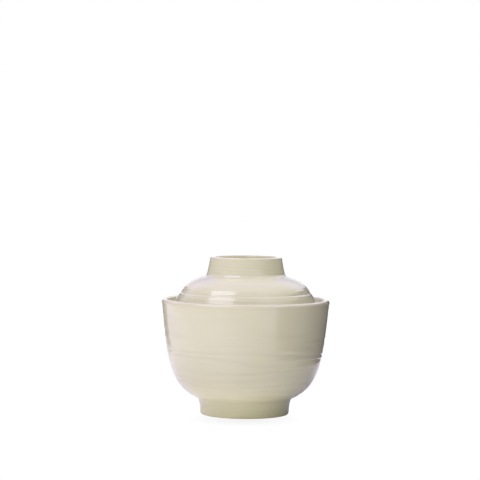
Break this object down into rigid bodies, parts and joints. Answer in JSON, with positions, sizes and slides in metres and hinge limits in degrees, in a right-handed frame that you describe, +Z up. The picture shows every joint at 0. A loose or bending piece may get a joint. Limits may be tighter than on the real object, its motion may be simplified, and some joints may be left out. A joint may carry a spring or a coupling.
{
  "type": "lidded bowl",
  "caption": "Footed round bowl with a drop-in domed lid and ring knob, thrown in cream-glazed stoneware; keeps go stones or other small loose things.",
  "frame": {"origin": "on the table, under the middle of the foot ring", "axes": "+Z up along the axis that the bowl and the lid are turned about; X and Y are free, because both pieces are round"},
  "size_m": [0.12, 0.12, 0.112],
  "materials": {
    "bowl_glaze": "glossy cream glaze over throwing rings, bare clay on the standing face",
    "lid_glaze": "glossy cream glaze over throwing rings, bare clay on the seating face"
  },
  "bodies": {
    "bowl": {"bowl": "bowl_glaze"},
    "lid": {"lid": "lid_glaze"}
  },
  "joints": [
    {"name": "lid_lift", "type": "slide", "parent": "bowl", "child": "lid", "axis": [0, 0, 1], "range_m": [0, 0.13]}
  ]
}
